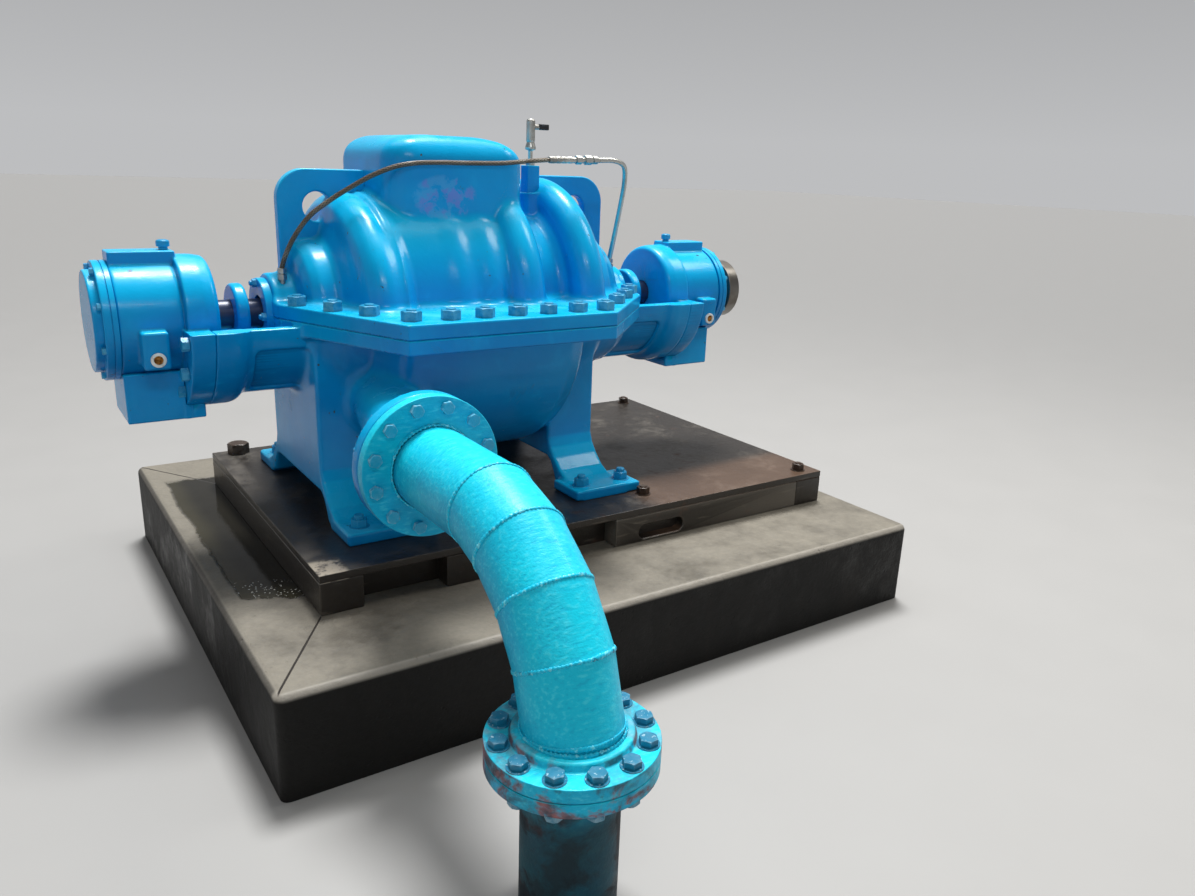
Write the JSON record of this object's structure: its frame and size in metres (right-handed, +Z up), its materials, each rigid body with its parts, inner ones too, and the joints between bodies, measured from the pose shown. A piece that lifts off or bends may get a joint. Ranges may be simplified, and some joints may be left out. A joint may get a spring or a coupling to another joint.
{
  "type": "centrifugal pump",
  "caption": "Horizontal multistage centrifugal pump: axially split blue casing, bearing housings, base frame on a concrete plinth and mitred discharge bend.",
  "frame": {"origin": "on the floor under the plinth, below the middle of the casing and on the shaft's plane", "axes": "+X along the shaft towards the coupling end, -Y towards the discharge pipe, +Z up"},
  "size_m": [2.577, 2.8705, 1.718],
  "materials": {
    "pump_paint": "glossy mid-blue enamel on cast iron, chipped at bolts and edges",
    "cyan_paint": "glossy cyan-blue pipe enamel, chipped to grey and red-oxide primer",
    "oily_concrete": "dark oil-stained concrete with a worn glossy top edge",
    "oily_steel_paint": "dark brown-black greasy paint with dusty patches",
    "bright_steel": "plain machined steel",
    "hose_rubber": "grey-brown rubber hose",
    "gasket_fibre": "dark fibre gasket",
    "brass": "dull brass"
  },
  "bodies": {
    "pump_body": {"base_deck_plate": "oily_steel_paint", "base_end_beam_left": "oily_steel_paint", "base_end_beam_right": "oily_steel_paint", "base_side_beam_back": "oily_steel_paint", "base_side_beam_front": "oily_steel_paint", "bearing_bracket_drive_end": "pump_paint", "bearing_bracket_free_end": "pump_paint", "bearing_housing_drive_end": "pump_paint", "bearing_housing_free_end": "pump_paint", "bend_flange_lower": "cyan_paint", "bend_flange_upper": "cyan_paint", "breather_cap_drive_end": "pump_paint", "breather_cap_free_end": "pump_paint", "discharge_bend": "cyan_paint", "end_cover_drive_end": "pump_paint", "end_cover_free_end": "pump_paint", "flush_fitting_drive_end": "bright_steel", "flush_fitting_free_end": "bright_steel", "flush_hose": "hose_rubber", "flush_pipe": "bright_steel", "gasket_lower": "gasket_fibre", "gasket_upper": "gasket_fibre", "gland_plate_drive_end": "pump_paint", "gland_plate_free_end": "pump_paint", "hose_ferrule": "bright_steel", "lifting_lug_left": "pump_paint", "lifting_lug_right": "pump_paint", "lower_casing": "pump_paint", "oil_sump_drive_end": "pump_paint", "oil_sump_free_end": "pump_paint", "plinth": "oily_concrete", "riser_flange": "cyan_paint", "riser_pipe": "cyan_paint", "sight_glass_drive_end": "brass", "sight_glass_free_end": "brass", "upper_casing": "pump_paint", "vent_block": "pump_paint", "vent_cock": "bright_steel"},
    "rotor": {"shaft": "bright_steel", "deflector_ring_free_end": "pump_paint", "deflector_ring_drive_end": "pump_paint", "coupling_hub": "bright_steel"}
  },
  "joints": [
    {"name": "rotor_spin", "type": "hinge", "parent": "pump_body", "child": "rotor", "pos_m": [0, 0, 1.08], "axis": [1, 0, 0], "continuous": true}
  ]
}
